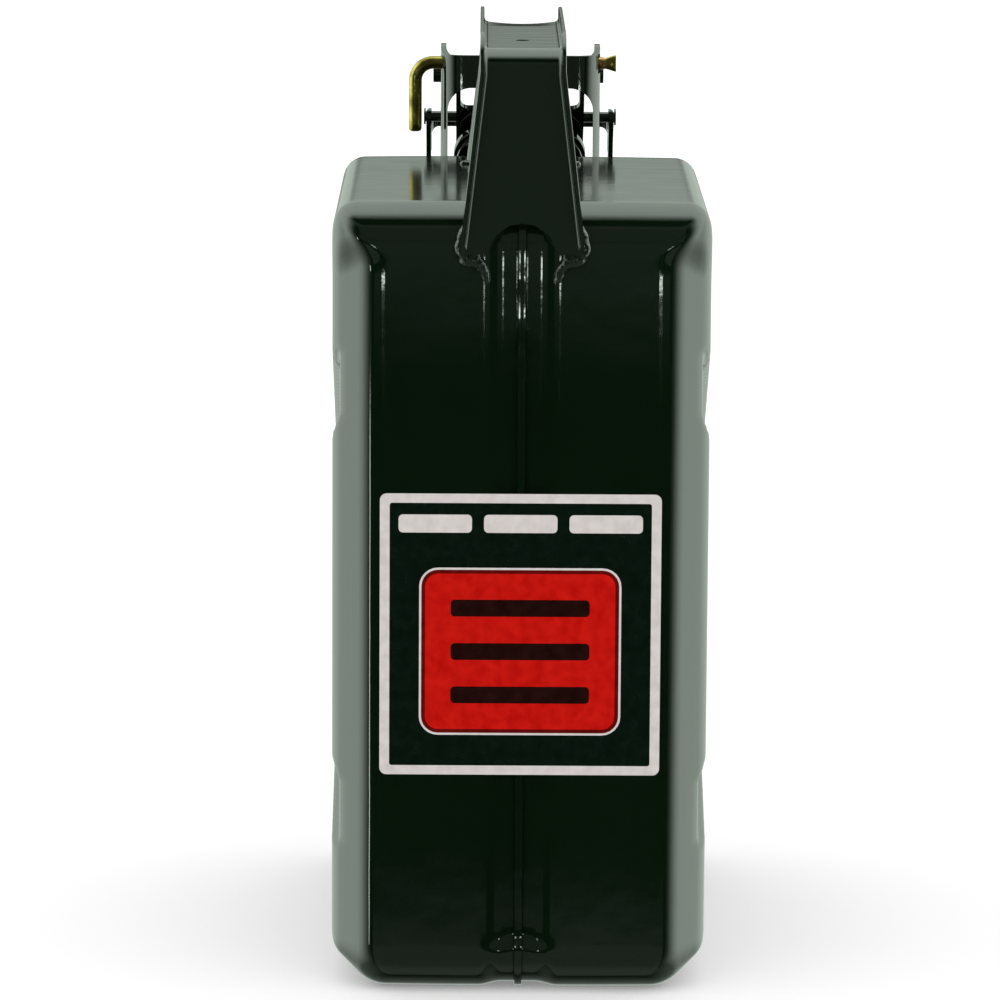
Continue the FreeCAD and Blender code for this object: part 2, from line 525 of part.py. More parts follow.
lever_pin = on_spout(join(
    "lever_pin",
    rod("lever_pin_shank", "lever_pin_radius", f"0 - ({PIN_END})", PIN_END, "lever_pin_along",
        "lever_pin_up"),
    rod("lever_pin_left", "lever_pin_radius + 1", f"0 - ({PIN_END}) - lever_pin_head", f"0 - ({PIN_END})",
        "lever_pin_along", "lever_pin_up"),
    rod("lever_pin_right", "lever_pin_radius + 1", PIN_END, f"{PIN_END} + lever_pin_head", "lever_pin_along",
        "lever_pin_up")))

# ---------------------------------------------------------------- cam lever
lever_side = slab("lever_side", "YZ_Plane", [
    ("lever_pin_along - lever_lobe", "lever_pin_up - lever_lobe", "3"),
    ("lever_pin_along - lever_lobe", "lever_pin_up + lever_shoulder", "2.6"),
    ("lever_pin_along + 3", "lever_pin_up + lever_shoulder"), ("strap_rear", "lever_top"),
    ("arm_top_along - 4", "lever_top"),
    ("arm_top_along", "lever_top - 2", "3"), ("hook_along", "stud_up + 1", "3"),
    ("hook_along - 6", "stud_up - hook_low + 0.3", "2"), ("0 - 3.6", "stud_up - hook_low"),
    ("0 - 3", "stud_up - hook_low + hook_tail"), ("4", "stud_up + 0.2"), ("3.2", "stud_up + 4", "1"),
    ("0 - 6", "lever_pin_up - lever_lobe - 1", "3")], "3 * lever_half")
lever_arch = slab("lever_arch", "XZ_Plane", [
    ("0 - lever_half", "0"), ("0 - lever_half", "lever_top", "lever_bend"),
    ("lever_half", "lever_top", "lever_bend"), ("lever_half", "0"), ("lever_half - lever_sheet", "0"),
    ("lever_half - lever_sheet", "lever_top - lever_sheet", "lever_bend - lever_sheet"),
    ("0 - lever_half + lever_sheet", "lever_top - lever_sheet", "lever_bend - lever_sheet"),
    ("0 - lever_half + lever_sheet", "0")], "3 * lever_half")
lever_notch = slab("lever_notch", "XY_Plane", [
    ("0 - strap_inner_half", "0 - lever_half"), ("strap_inner_half", "0 - lever_half"),
    ("strap_inner_half", "strap_rear", "3"), ("0 - strap_inner_half", "strap_rear", "3")], "3 * lever_top")
lever_window = slab("lever_window", "XY_Plane", [
    ("0 - strap_inner_half", "strap_front", "2"), ("strap_inner_half", "strap_front", "2"),
    ("strap_inner_half", "lever_half"), ("0 - strap_inner_half", "lever_half")], "3 * lever_top")
lever_frame = cut("lever_frame", overlap("lever_blank", lever_side, lever_arch), lever_notch, lever_window,
                  cross_hole("lever_hole", "lever_pin_radius + fit", "lever_pin_along", "lever_pin_up"))
TONGUE_BACK = "lid_radius + tongue_out - lever_sheet"
lever_tongue = slab("lever_tongue", "YZ_Plane", [
    ("strap_front - 1", "lever_top"), ("lid_radius + tongue_out", "lever_top", "4"),
    ("lid_radius + tongue_out", "tongue_low", "2"), ("lid_radius + tongue_tip", "tongue_low - 1.4"),
    ("lid_radius + tongue_tip - 0.4", "tongue_low - 2.8"), (TONGUE_BACK, "tongue_low - 1", "2"),
    (TONGUE_BACK, "lever_top - lever_sheet", "2.4"), ("strap_front - 1", "lever_top - lever_sheet")],
    "2 * tongue_half")
cam_lever = on_spout(join("cam_lever", lever_frame, lever_tongue))

# ---------------------------------------------------------------- locking pin
lock_bar = rod("lock_bar", "lock_radius", "0 - lock_left + lock_bend", "lock_right", "lock_y", "lock_height")
lock_elbow = bind(doc.addObject("Part::Torus", "lock_elbow"), Radius1="lock_bend", Radius2="lock_radius")
lock_elbow.Angle3 = 90
lock_elbow.Placement = Placement(Vector(), Rotation(Vector(1, 0, 0), 90) * Rotation(Vector(0, 0, 1), 90))
bind(lock_elbow, place_x="0 - lock_left + lock_bend", place_y="lock_y", place_z="lock_height - lock_bend")
lock_leg = bind(doc.addObject("Part::Cylinder", "lock_leg"), Radius="lock_radius",
                Height="lock_height - lock_bend - lock_low", place_x="0 - lock_left", place_y="lock_y",
                place_z="lock_low")


def lock_section(half_wide, half_tall, lift):
    """A rectangle across the locking pin's flattened end."""
    return outline(lock_flat, "YZ_Plane", [
        (f"lock_y - {half_wide}", f"lock_height - {half_tall}"),
        (f"lock_y + {half_wide}", f"lock_height - {half_tall}"),
        (f"lock_y + {half_wide}", f"lock_height + {half_tall}"),
        (f"lock_y - {half_wide}", f"lock_height + {half_tall}")], lift)


lock_flat = new_body("lock_flat")
loft(lock_flat, "Additive", lock_section("lock_radius * 0.68", "lock_radius * 0.72", "lock_right - 0.5"),
     lock_section("lock_flat_thin", "lock_flat_half", "lock_flat_end"))
locking_pin = join("locking_pin", lock_bar, lock_elbow, lock_leg, lock_flat)

# ---------------------------------------------------------------- label
label = slab("label", "XZ_Plane", [
    ("0 - label_wide / 2", "0 + label_low", "label_corner"),
    ("label_wide / 2", "0 + label_low", "label_corner"),
    ("label_wide / 2", "label_low + label_tall", "label_corner"),
    ("0 - label_wide / 2", "label_low + label_tall", "label_corner")], "label_thick", both_ways=False)
bind(label, place_y="rear")

# ---------------------------------------------------------------- checks and export
NODES = [shell_left, shell_right, seam_weld, handle, handle_rear_welds, handle_front_welds, neck, neck_weld,
         breather_tube, closure_bracket, bracket_welds, hinge_pin, hinge_spacers, catch_studs, lid, lid_gasket,
         gasket_retainer, lid_rivet, lid_yoke, lever_pin, cam_lever, locking_pin, label]
doc.recompute()
for thing in doc.Objects:
    if "Invalid" in thing.State or "Error" in thing.State:
        raise RuntimeError(f"{thing.Label} failed: {thing.State}")
for node in NODES:
    shape = node.Shape
    if shape.isNull() or not shape.isValid() or not shape.Solids:
        raise RuntimeError(f"{node.Label} has no valid solid")
    shape.exportStep(f"parts/{node.Label}.step")
    print(f"{node.Label}: {len(shape.Solids)} solid(s), {shape.Volume:.0f} mm3")
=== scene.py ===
"""Looks of the five litre pressed steel fuel can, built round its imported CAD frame.

Lengths are in metres in the can's own frame: +Z up, the rear face towards -Y, the spout towards +Y.
"""

import math
import random

import bmesh
import bpy
import numpy as np
from mathutils import Euler, Matrix, Vector, noise


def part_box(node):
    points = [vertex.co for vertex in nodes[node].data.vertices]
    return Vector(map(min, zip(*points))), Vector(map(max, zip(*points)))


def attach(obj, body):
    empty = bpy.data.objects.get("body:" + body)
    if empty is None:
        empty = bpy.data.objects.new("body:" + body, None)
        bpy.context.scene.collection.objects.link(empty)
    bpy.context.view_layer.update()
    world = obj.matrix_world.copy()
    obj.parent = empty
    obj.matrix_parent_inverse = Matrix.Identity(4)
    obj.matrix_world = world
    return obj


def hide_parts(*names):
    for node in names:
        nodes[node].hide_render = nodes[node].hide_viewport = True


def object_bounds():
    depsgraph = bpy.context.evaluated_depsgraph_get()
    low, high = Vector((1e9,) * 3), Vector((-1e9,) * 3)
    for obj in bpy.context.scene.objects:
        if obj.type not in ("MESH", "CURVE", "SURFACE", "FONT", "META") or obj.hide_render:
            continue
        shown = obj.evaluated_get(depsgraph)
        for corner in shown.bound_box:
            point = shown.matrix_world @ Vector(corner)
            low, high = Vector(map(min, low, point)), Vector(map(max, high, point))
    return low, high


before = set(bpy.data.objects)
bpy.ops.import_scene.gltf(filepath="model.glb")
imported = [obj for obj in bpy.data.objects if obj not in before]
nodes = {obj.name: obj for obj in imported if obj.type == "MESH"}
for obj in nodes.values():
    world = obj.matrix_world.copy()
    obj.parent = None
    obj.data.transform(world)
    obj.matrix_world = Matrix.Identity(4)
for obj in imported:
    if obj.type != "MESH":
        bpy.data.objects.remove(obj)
cad_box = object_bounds()
MM = 0.001
SPACING = 1.75 * MM             # of the pressed shells' mesh

# The pressed body, from its CAD shell.
shell_low, shell_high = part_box("shell_right")
WIDTH, REAR, FRONT, HEIGHT = shell_high.x, shell_low.y, shell_high.y, shell_high.z
WALL = 0.9 * MM
CORNER, SLOPE_CORNER, LEAST_CORNER = 14 * MM, 16 * MM, 1.2 * MM
SLOPE_RUN, SLOPE_ANGLE = 56 * MM, math.radians(40)
# The long edges: a slanted facet with its two roundings, and a plain round edge along the top.
FACET_EDGE, TOP_EDGE = (12.4 * MM, 10 * MM, 13 * MM), (4.69 * MM, 8 * MM, 8 * MM)
CROWN = 0.7 * MM
# The seam channel and the weld bead in it.
CHANNEL_HALF, CHANNEL_FLOOR_HALF = 12.6 * MM, 5.4 * MM
CHANNEL_DEPTH, CHANNEL_LOW_DEPTH = 2.0 * MM, 1.3 * MM
LEDGE_LOW, LEDGE_HIGH = 14.2 * MM, 20.2 * MM
# The X pressing: (height at the rear, height at the front) of its two arms.
PRESS_ARMS = ((204 * MM, 52 * MM), (52 * MM, 168 * MM))
PRESS_DEPTH, PRESS_HALF, PRESS_RAMP = 2.6 * MM, 9.4 * MM, 4.6 * MM
# The spout stands square on the sloping shoulder.
SPOUT_AXIS = Vector((0, math.sin(SLOPE_ANGLE), math.cos(SLOPE_ANGLE)))
SPOUT_DOWN = 25 * MM            # along the shoulder from its top edge
SPOUT_FOOT = Vector((0, FRONT - SLOPE_RUN + SPOUT_DOWN * math.cos(SLOPE_ANGLE),
                     HEIGHT - SPOUT_DOWN * math.sin(SLOPE_ANGLE)))
NECK_RADIUS = 20 * MM


# ---------------------------------------------------------------- shader helpers
def new_material(name):
    """A material with its node tree and Principled shader."""
    material = bpy.data.materials.new(name)
    material.use_nodes = True
    return material, material.node_tree, material.node_tree.nodes["Principled BSDF"]


def add(tree, kind, **settings):
    """Add a shader node; a capitalised setting is an input socket, any other is a property."""
    node = tree.nodes.new(f"ShaderNode{kind}")
    for key, setting in settings.items():
        if key[0].isupper():
            node.inputs[key.replace("_", " ")].default_value = setting
        else:
            setattr(node, key, setting)
    return node


def pattern(tree, kind, scale, stretch=(1, 1, 1), **settings):
    """A procedural texture in the object's own metres."""
    place = add(tree, "TexCoord")
    mapping = add(tree, "Mapping", Scale=stretch)
    texture = add(tree, kind, Scale=scale, **settings)
    tree.links.new(place.outputs["Object"], mapping.inputs["Vector"])
    tree.links.new(mapping.outputs["Vector"], texture.inputs["Vector"])
    return texture


def ramp(tree, source, stops):
    """A colour ramp over a grey input; stops are (position, grey or colour)."""
    node = add(tree, "ValToRGB")
    elements = node.color_ramp.elements
    while len(elements) < len(stops):
        elements.new(0.5)
    for element, (position, tone) in zip(elements, stops):
        element.position = position
        element.color = (*tone, 1) if isinstance(tone, tuple) else (tone, tone, tone, 1)
    tree.links.new(source, node.inputs["Fac"])
    return node.outputs["Color"]


def math_node(tree, operation, first, second=None, clamp=False):
    """A math node over links or numbers."""
    node = add(tree, "Math", operation=operation, use_clamp=clamp)
    for socket, source in zip(node.inputs, (first, second)):
        if isinstance(source, (int, float)):
            socket.default_value = source
        elif source is not None:
            tree.links.new(source, socket)
    return node.outputs[0]


def bump(tree, shader, heights):
    """Chain (height output, strength, distance) bumps into the shader's normal."""
    last = None
    for height, strength, distance in heights:
        node = add(tree, "Bump", Strength=strength, Distance=distance)
        tree.links.new(height, node.inputs["Height"])
        if last:
            tree.links.new(last.outputs["Normal"], node.inputs["Normal"])
        last = node
    tree.links.new(last.outputs["Normal"], shader.inputs["Normal"])


# ---------------------------------------------------------------- materials
def enamel(name, lumpy=False):
    """Glossy dark green stoving enamel: clouded colour, ripples, orange peel, rubbed edges, dusty tops."""
    material, tree, shader = new_material(name)
    cloud = pattern(tree, "TexNoise", 14, Detail=3)
    body = ramp(tree, cloud.outputs["Fac"],
                [(0.3, (0.0022, 0.0062, 0.0024)), (0.7, (0.0030, 0.0080, 0.0032))])
    shape = add(tree, "NewGeometry")
    rubbing = pattern(tree, "TexNoise", 400, Detail=6)
    edge = math_node(tree, "MULTIPLY", ramp(tree, shape.outputs["Pointiness"], [(0.53, 0.0), (0.62, 1.0)]),
                     ramp(tree, rubbing.outputs["Fac"], [(0.52, 0.0), (0.72, 0.7)]))
    worn = add(tree, "MixRGB", Color2=(0.020, 0.028, 0.020, 1))
    tree.links.new(edge, worn.inputs["Fac"])
    tree.links.new(body, worn.inputs["Color1"])
    tree.links.new(worn.outputs["Color"], shader.inputs["Base Color"])
    handled = pattern(tree, "TexNoise", 60, (1, 1, 0.25), Detail=6)
    gloss = ramp(tree, handled.outputs["Fac"], [(0.35, 0.022), (0.75, 0.05)])
    place = add(tree, "TexCoord")
    facing = add(tree, "SeparateXYZ")
    tree.links.new(place.outputs["Normal"], facing.inputs["Vector"])
    dusty = math_node(tree, "MULTIPLY", ramp(tree, facing.outputs["Z"], [(0.9, 0.0), (1.0, 1.0)]), 0.1)
    rough = math_node(tree, "ADD", gloss, math_node(tree, "MULTIPLY", edge, 0.3))
    tree.links.new(math_node(tree, "ADD", rough, dusty), shader.inputs["Roughness"])
    peel = pattern(tree, "TexNoise", 700, Detail=1)
    waves = pattern(tree, "TexNoise", 30, (1, 1, 0.4), Detail=2)
    ripples = pattern(tree, "TexNoise", 240, (0.22, 1, 0.22), Detail=2)
    lumps = [(pattern(tree, "TexNoise", 420, Detail=2).outputs["Fac"], 0.55, 0.0012)] if lumpy else []
    bump(tree, shader, [(waves.outputs["Fac"], 0.035, 0.0012), (ripples.outputs["Fac"], 0.2, 0.0002),
                        (peel.outputs["Fac"], 0.01, 0.0002), *lumps])
    shader.inputs["IOR"].default_value = 1.5
    return material


def yellow_zinc():
    """Yellow passivated wire: blotched olive to gold, with scratches drawn along it."""
    material, tree, shader = new_material("yellow_zinc")
    blotch = pattern(tree, "TexNoise", 160, Detail=5)
    gold = ramp(tree, blotch.outputs["Fac"],
                [(0.3, (0.09, 0.070, 0.014)), (0.5, (0.20, 0.165, 0.036)), (0.72, (0.36, 0.31, 0.10))])
    tree.links.new(gold, shader.inputs["Base Color"])
    drawn = pattern(tree, "TexNoise", 700, (0.08, 1, 1), Detail=3)
    tree.links.new(ramp(tree, drawn.outputs["Fac"], [(0.3, 0.2), (0.7, 0.38)]), shader.inputs["Roughness"])
    bump(tree, shader, [(drawn.outputs["Fac"], 0.25, 0.0002), (blotch.outputs["Fac"], 0.15, 0.0003)])
    shader.inputs["Metallic"].default_value = 1.0
    return material


def copper_tint():
    """The bruised, coppery skin where the wire was squeezed flat."""
    material, tree, shader = new_material("copper_tint")
    blotch = pattern(tree, "TexNoise", 300, Detail=4)
    skin = ramp(tree, blotch.outputs["Fac"], [(0.35, (0.30, 0.14, 0.06)), (0.65, (0.52, 0.31, 0.16))])
    tree.links.new(skin, shader.inputs["Base Color"])
    tree.links.new(ramp(tree, blotch.outputs["Fac"], [(0.3, 0.3), (0.7, 0.5)]), shader.inputs["Roughness"])
    bump(tree, shader, [(blotch.outputs["Fac"], 0.3, 0.0002)])
    shader.inputs["Metallic"].default_value = 1.0
    return material


def bare_steel():
    """Dull zinc coated steel with a small spangle."""
    material, tree, shader = new_material("bare_steel")
    spangle = pattern(tree, "TexVoronoi", 220)
    tree.links.new(ramp(tree, spangle.outputs["Distance"], [(0.0, 0.28), (1.0, 0.46)]),
                   shader.inputs["Base Color"])
    tree.links.new(ramp(tree, spangle.outputs["Distance"], [(0.0, 0.3), (1.0, 0.5)]),
                   shader.inputs["Roughness"])
    bump(tree, shader, [(spangle.outputs["Distance"], 0.2, 0.0002)])
    shader.inputs["Metallic"].default_value = 1.0
    return material


def rubber():
    """Black fuel proof rubber with a fine moulded grain."""
    material, tree, shader = new_material("rubber")
    grain = pattern(tree, "TexNoise", 1200, Detail=3)
    tree.links.new(ramp(tree, grain.outputs["Fac"], [(0.3, 0.012), (0.7, 0.03)]),
                   shader.inputs["Base Color"])
    tree.links.new(ramp(tree, grain.outputs["Fac"], [(0.3, 0.55), (0.7, 0.8)]), shader.inputs["Roughness"])
    bump(tree, shader, [(grain.outputs["Fac"], 0.3, 0.0002)])
    return material


def printed(name, dark, light, gloss=0.14):
    """Printed vinyl film: ink that is slightly uneven, under a soft gloss."""
    material, tree, shader = new_material(name)
    shader.inputs["Specular IOR Level"].default_value = 0.16
    ink = pattern(tree, "TexNoise", 260, Detail=6)
    tree.links.new(ramp(tree, ink.outputs["Fac"], [(0.35, dark), (0.65, light)]),
                   shader.inputs["Base Color"])
    tree.links.new(ramp(tree, ink.outputs["Fac"], [(0.3, gloss), (0.7, gloss + 0.06)]),
                   shader.inputs["Roughness"])
    grain = pattern(tree, "TexNoise", 1500, Detail=2)
    bump(tree, shader, [(grain.outputs["Fac"], 0.05, 0.0001)])
    return material


GREEN = enamel("green_enamel")
WELD_GREEN = enamel("weld_enamel", lumpy=True)
ZINC = yellow_zinc()
COPPER = copper_tint()
STEEL = bare_steel()
RUBBER = rubber()
VINYL_GREY = printed("vinyl_grey", (0.56, 0.52, 0.50), (0.64, 0.60, 0.58))
VINYL_DARK = printed("vinyl_dark", (0.0014, 0.0058, 0.0028), (0.0022, 0.0078, 0.0040), 0.12)
VINYL_RED = printed("vinyl_red", (0.44, 0.0018, 0.0004), (0.54, 0.0045, 0.0008))
VINYL_MAROON = printed("vinyl_maroon", (0.085, 0.0008, 0.0006), (0.12, 0.0016, 0.001))
VINYL_BLACK = printed("vinyl_black", (0.010, 0.0018, 0.0012), (0.016, 0.003, 0.002))


# ---------------------------------------------------------------- mesh helpers
def new_piece(name, points, faces, body, material, *replaced, smooth=True):
    """A mesh piece that rides on a body and may stand for CAD nodes."""
    mesh = bpy.data.meshes.new(name)
    mesh.from_pydata([tuple(point) for point in points], [], [tuple(face) for face in faces])
    mesh.validate()
    piece = bpy.data.objects.new(name, mesh)
    bpy.context.scene.collection.objects.link(piece)
    mesh.materials.append(material)
    for face in mesh.polygons:
        face.use_smooth = smooth
    tidy = bmesh.new()
    tidy.from_mesh(mesh)
    bmesh.ops.recalc_face_normals(tidy, faces=tidy.faces)
    middle = sum((face.calc_center_median() for face in tidy.faces), Vector()) / len(tidy.faces)
    outward = sum(face.normal.dot(face.calc_center_median() - middle) * face.calc_area()
                  for face in tidy.faces)
    if outward < 0:
        bmesh.ops.reverse_faces(tidy, faces=tidy.faces)
    tidy.to_mesh(mesh)
    tidy.free()
    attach(piece, body)
    if replaced:
        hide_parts(*replaced)
    return piece


def settle(piece):
    """Apply a piece's modifiers."""
    bpy.context.view_layer.update()
    evaluated = piece.evaluated_get(bpy.context.evaluated_depsgraph_get())
    mesh = bpy.data.meshes.new_from_object(evaluated)
    piece.modifiers.clear()
    piece.data = mesh


def crisp(piece):
    """Split a piece's shading along its sharp edges."""
    edges = piece.modifiers.new("edges", "EDGE_SPLIT")
    edges.split_angle = math.radians(50)
    settle(piece)


def carve(piece, points, faces):
    """Cut a closed tool away from a piece."""
    mesh = bpy.data.meshes.new("tool")
    mesh.from_pydata([tuple(point) for point in points], [], faces)
    tool = bpy.data.objects.new("tool", mesh)
    bpy.context.scene.collection.objects.link(tool)
    cutter = piece.modifiers.new("cut", "BOOLEAN")
    cutter.object = tool
    cutter.solver = "EXACT"
    settle(piece)
    bpy.data.objects.remove(tool)


def tube(rows, closed=False):
    """Points and quads of stacked loops of equal length, capped unless the stack closes on itself."""
    size = len(rows[0])
    points = [point for row in rows for point in row]
    faces = []
    for row in range(len(rows) if closed else len(rows) - 1):
        low, high = row * size, (row + 1) % len(rows) * size
        faces += [(low + k, low + (k + 1) % size, high + (k + 1) % size, high + k) for k in range(size)]
    if not closed:
        faces += [tuple(range(size))[::-1], tuple(range(len(points) - size, len(points)))]
    return points, faces


def smoothstep(low, high, here):
    """0 below low, 1 above high, smooth between."""
    part = min(1, max(0, (here - low) / (high - low)))
    return part * part * (3 - 2 * part)


def from_spout(point):
    """Distance of a point from the spout's axis."""
    away = Vector(point) - SPOUT_FOOT
    return (away - SPOUT_AXIS * away.dot(SPOUT_AXIS)).length


# ---------------------------------------------------------------- outline of the can from the side
def rounded_path(corners, spacing):
    """Samples (y, z, normal y, normal z) round a closed outline of (y, z, radius) corners.

    Also returns the index of the sample in the middle of each corner's arc.
    """
    count = len(corners)
    pieces, middles = [], []
    tangents = []
    for index, (y, z, radius) in enumerate(corners):
        here = Vector((y, z))
        back = (Vector(corners[index - 1][:2]) - here).normalized()
        onward = (Vector(corners[(index + 1) % count][:2]) - here).normalized()
        half = back.angle(onward) / 2
        centre = here + (back + onward).normalized() * radius / math.sin(half)
        start, end = here + back * radius / math.tan(half), here + onward * radius / math.tan(half)
        tangents.append((start, end, centre))
    for index, (start, end, centre) in enumerate(tangents):
        first, last = start - centre, end - centre
        turn = first.angle(last)
        steps = 2 * max(2, round(turn * first.length / spacing / 2))
        for step in range(steps + 1):
            normal = first * math.sin((1 - step / steps) * turn) + last * math.sin(step / steps * turn)
            normal = normal.normalized()
            if step == steps // 2:
                middles.append(len(pieces))
            pieces.append((*(centre + normal * first.length), *normal))
        following = tangents[(index + 1) % count][0]
        steps = max(2, round((following - end).length / spacing))
        normal = last.normalized()
        pieces += [(*end.lerp(following, step / steps), *normal) for step in range(1, steps)]
    return pieces, middles


def resample(samples, count):
    """Pick count evenly spaced samples along an open run of samples, ends included."""
    table = np.array(samples)
    run = np.concatenate([[0], np.cumsum(np.hypot(*np.diff(table[:, :2], axis=0).T))])
    picked = np.array([np.interp(np.linspace(0, run[-1], count), run, column) for column in table.T]).T
    picked[:, 2:] /= np.hypot(picked[:, 2], picked[:, 3])[:, None]
    return picked


def can_outline(inset=0, spacing=SPACING):
    """Four runs of samples (bottom, front, top, rear) round the can, opposite runs equally many."""
    turn = SLOPE_ANGLE
    rear, front, high = REAR + inset, FRONT - inset, HEIGHT - inset
    shoulder_y = FRONT - SLOPE_RUN - inset * math.tan(turn / 2)
    shoulder_z = HEIGHT - SLOPE_RUN * math.tan(turn) - inset * math.tan(math.radians(45) - turn / 2)
    corner, slope_corner = max(LEAST_CORNER, CORNER - inset), max(LEAST_CORNER, SLOPE_CORNER - inset)
    corners = [(rear, inset, corner), (front, inset, corner), (front, shoulder_z, slope_corner),
               (shoulder_y, high, slope_corner), (rear, high, corner)]
    samples, middles = rounded_path(corners, spacing / 4)
    rear_low, front_low, front_high, _, rear_high = middles
    across, up = round((FRONT - REAR) / spacing), round(HEIGHT / spacing)
    bottom = resample(samples[rear_low:front_low + 1], across)
    front = resample(samples[front_low:front_high + 1], up)
    top = resample(samples[front_high:rear_high + 1], across)
    rear = resample(samples[rear_high:] + samples[:rear_low + 1], up)
    return bottom, front, top, rear


def closed_loop(runs):
    """One closed loop of samples from the four runs."""
    return np.concatenate([run[:-1] for run in runs])


def channel_depth(z, x=0):
    """The seam channel is shallower round the bottom, below a small arched ledge."""
    arch = 1.8 * MM * min(1, abs(x) / CHANNEL_FLOOR_HALF) ** 2
    return CHANNEL_LOW_DEPTH + (CHANNEL_DEPTH - CHANNEL_LOW_DEPTH) * smoothstep(LEDGE_LOW - arch,
                                                                                LEDGE_HIGH - arch, z)


def crown(x):
    """The narrow faces are bowed: how far they fall back at x."""
    return CROWN * (max(0, abs(x) - CHANNEL_HALF) / WIDTH) ** 2


# ---------------------------------------------------------------- pressed half shells
def edge_profile(facet, side_rounding, face_rounding):
    """(inset, x) pairs from the flat side over the slanted facet to the narrow face."""
    bend = math.tan(math.radians(22.5))
    side = [(facet + side_rounding * bend + 1.5 * MM, WIDTH)]
    for step in range(9):
        angle = math.radians(45) * step / 8
        side.append((facet + side_rounding * (bend - math.sin(angle)),
                     WIDTH - side_rounding * (1 - math.cos(angle))))
    low = WIDTH - facet - face_rounding * bend
    face = []
    for step in range(11):
        angle = math.radians(45) * (1 - step / 10)
        face.append((face_rounding * (1 - math.cos(angle)), low + face_rounding * math.sin(angle)))
    flat = [tuple(a + (b - a) * step / 3 for a, b in zip(side[-1], face[0])) for step in (1, 2)]
    return side + flat + face


def channel_rings():
    """(x, share of the channel's depth) from the end of the edge's rounding to the seam."""
    start, rim, foot = 41 * MM, CHANNEL_HALF, CHANNEL_FLOOR_HALF
    rings = [(start + (rim - start) * step / 14, 0) for step in range(15)]
    rings += [(rim + (foot - rim) * step / 12, 1 - smoothstep(0, 1, 1 - step / 12)) for step in range(1, 13)]
    return rings + [(3.4 * MM, 1), (2 * MM, 1), (0.05 * MM, 1)]


def pressed_in(x, y, z):
    """Sink a point of the side under the X pressing, softly at its rims."""
    depth = 0
    for rear_height, front_height in PRESS_ARMS:
        line = rear_height + (front_height - rear_height) * (y - REAR) / (FRONT - REAR)
        fade = smoothstep(PRESS_HALF, PRESS_HALF + PRESS_RAMP, abs(z - line))
        depth = max(depth, PRESS_DEPTH * (1 - fade))
    if depth == 0:
        return x
    floor_x, soft = WIDTH - depth, min(depth, 1.2 * MM)
    share = min(1, max(0, 0.5 + (floor_x - x) / (2 * soft)))
    return floor_x * (1 - share) + x * share - soft * share * (1 - share)


def shell_grid():
    """Points and faces of the right half shell's outer skin."""
    points, faces = [], []
    for facet_pair, top_pair in zip(edge_profile(*FACET_EDGE), edge_profile(*TOP_EDGE)):
        facet_loop = closed_loop(can_outline(facet_pair[0] + crown(facet_pair[1])))
        top_loop = closed_loop(can_outline(top_pair[0] + crown(top_pair[1])))
        for low, high in zip(facet_loop, top_loop):
            part = smoothstep(HEIGHT - 20 * MM, HEIGHT - 2 * MM, high[1])
            y, z = low[:2] + (high[:2] - low[:2]) * part
            x = facet_pair[1] + (top_pair[1] - facet_pair[1]) * part
            points.append((pressed_in(x, y, z), y, z))
    outer = closed_loop(can_outline())
    for x, share in channel_rings():
        for y, z, out_y, out_z in outer:
            back = crown(x) + share * channel_depth(z, x)
            points.append((x, y - back * out_y, z - back * out_z))
    size = len(outer)
    for start in range(0, len(points) - size, size):
        faces += [(start + k, start + (k + 1) % size, start + size + (k + 1) % size, start + size + k)
                  for k in range(size)]
    rim = np.array(points[:size])
    across, up = round((FRONT - REAR) / SPACING), round(HEIGHT / SPACING)
    index = {}
    for i in range(across):
        index[i, 0] = i
        index[i, up - 1] = 2 * across + up - 3 - i
    for j in range(up):
        index[across - 1, j] = across - 1 + j
        index[0, j] = (2 * (across + up) - 4 - j) % size
    low = rim[[index[i, 0] for i in range(across)]]
    high = rim[[index[i, up - 1] for i in range(across)]]
    left = rim[[index[0, j] for j in range(up)]]
    right = rim[[index[across - 1, j] for j in range(up)]]
    for i in range(1, across - 1):
        for j in range(1, up - 1):
            u, v = i / (across - 1), j / (up - 1)
            _, y, z = ((1 - v) * low[i] + v * high[i] + (1 - u) * left[j] + u * right[j]
                       - (1 - u) * (1 - v) * low[0] - u * (1 - v) * low[-1]
                       - (1 - u) * v * high[0] - u * v * high[-1])
            index[i, j] = len(points)
            points.append((pressed_in(WIDTH, y, z), y, z))
    faces += [(index[i, j], index[i + 1, j], index[i + 1, j + 1], index[i, j + 1])
              for i in range(across - 1) for j in range(up - 1)]
    return points, faces


def half_shell(name, side, points, faces):
    """One pressed half: thin sheet, open at the seam and round the spout."""
    placed = [(side * x, y, z) for x, y, z in points]
    keep = []
    for face in faces:
        middle = sum((Vector(placed[k]) for k in face), Vector()) / len(face)
        if middle.z < HEIGHT / 2 or from_spout(middle) > NECK_RADIUS:
            keep.append(face)
    for k, point in enumerate(placed):
        reach = from_spout(point) if point[2] > HEIGHT / 2 else 1
        if reach < NECK_RADIUS + 0.6 * MM and reach > 1e-6:
            away = Vector(point) - SPOUT_FOOT
            along = SPOUT_AXIS * away.dot(SPOUT_AXIS)
            placed[k] = tuple(SPOUT_FOOT + along + (away - along) * ((NECK_RADIUS + 0.2 * MM) / reach))
    used = sorted({k for face in keep for k in face})
    renumber = {old: new for new, old in enumerate(used)}
    piece = new_piece(name, [placed[k] for k in used], [[renumber[k] for k in face] for face in keep], "can",
                      GREEN, "shell_right" if side > 0 else "shell_left")
    sheet = piece.modifiers.new("sheet", "SOLIDIFY")
    sheet.thickness = WALL
    sheet.offset = -1
    settle(piece)


